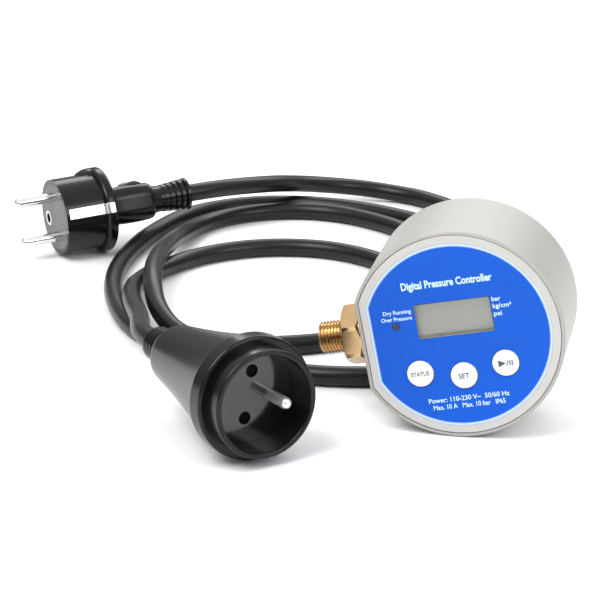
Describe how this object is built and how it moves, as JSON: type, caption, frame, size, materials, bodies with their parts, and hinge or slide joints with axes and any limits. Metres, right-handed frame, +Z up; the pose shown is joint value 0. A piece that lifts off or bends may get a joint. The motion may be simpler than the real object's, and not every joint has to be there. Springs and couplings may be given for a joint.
{
  "type": "digital pressure switch",
  "caption": "Digital pressure switch: round housing with display and keys, brass pressure connection, mains plug lead and outlet socket lead.",
  "frame": {"origin": "on the floor, below the middle of the rigid device without its cords, plug and socket", "axes": "+Z up, -Y out of the front with the display, -X towards the pressure connection, which points 11 degrees down"},
  "size_m": [0.2848, 0.3897, 0.085],
  "materials": {
    "black_plastic": "moulded",
    "board_laminate": "solder mask",
    "brass_metal": "machined",
    "capacitor_sleeve": "shrink sleeve",
    "clear_window": "clear",
    "contact_metal": "nickel plated",
    "cord_rubber": "matt sheath",
    "cover_plastic": "fine satin texture",
    "display_cell": "smooth",
    "housing_plastic": "fine satin texture",
    "key_plastic": "satin",
    "label_print": "printed film",
    "lamp_resin": "clear resin",
    "plug_insert_plastic": "moulded",
    "plug_rubber": "moulded",
    "screw_steel": "zinc plated",
    "seal_rubber": "soft",
    "socket_insert_plastic": "moulded",
    "terminal_plastic": "moulded"
  },
  "bodies": {
    "case": {"board_header": "contact_metal", "board_screws": "screw_steel", "capacitor": "capacitor_sleeve", "control_board": "board_laminate", "cover_gasket": "seal_rubber", "cover_screws": "screw_steel", "display_glass": "display_cell", "display_holder": "black_plastic", "display_window": "clear_window", "front_cover": "cover_plastic", "front_label": "label_print", "gland_nuts": "black_plastic", "housing": "housing_plastic", "key_switches": "black_plastic", "light_pipe": "clear_window", "outlet_cord": "cord_rubber", "outlet_gland": "cord_rubber", "pipe_fitting": "brass_metal", "plug_body": "plug_rubber", "plug_earth_clips": "contact_metal", "plug_earth_sleeve": "contact_metal", "plug_face": "plug_insert_plastic", "plug_pins": "contact_metal", "port_nut": "brass_metal", "port_seal": "seal_rubber", "power_board": "board_laminate", "pressure_sensor": "screw_steel", "relay": "black_plastic", "socket_body": "plug_rubber", "socket_contacts": "contact_metal", "socket_earth_pin": "contact_metal", "socket_insert": "socket_insert_plastic", "status_lamp": "lamp_resin", "supply_cord": "cord_rubber", "supply_gland": "cord_rubber", "terminals": "terminal_plastic", "transformer": "black_plastic"},
    "key_left": {"key_left": "key_plastic", "plunger_left": "black_plastic"},
    "key_middle": {"key_middle": "key_plastic", "plunger_middle": "black_plastic"},
    "key_right": {"key_right": "key_plastic", "plunger_right": "black_plastic"}
  },
  "joints": [
    {"name": "key_left_press", "type": "slide", "parent": "case", "child": "key_left", "axis": [0, 1, 0], "range_m": [0, 0.0004], "stiffness_N_per_m": 500},
    {"name": "key_middle_press", "type": "slide", "parent": "case", "child": "key_middle", "axis": [0, 1, 0], "range_m": [0, 0.0004], "stiffness_N_per_m": 500},
    {"name": "key_right_press", "type": "slide", "parent": "case", "child": "key_right", "axis": [0, 1, 0], "range_m": [0, 0.0004], "stiffness_N_per_m": 500}
  ]
}
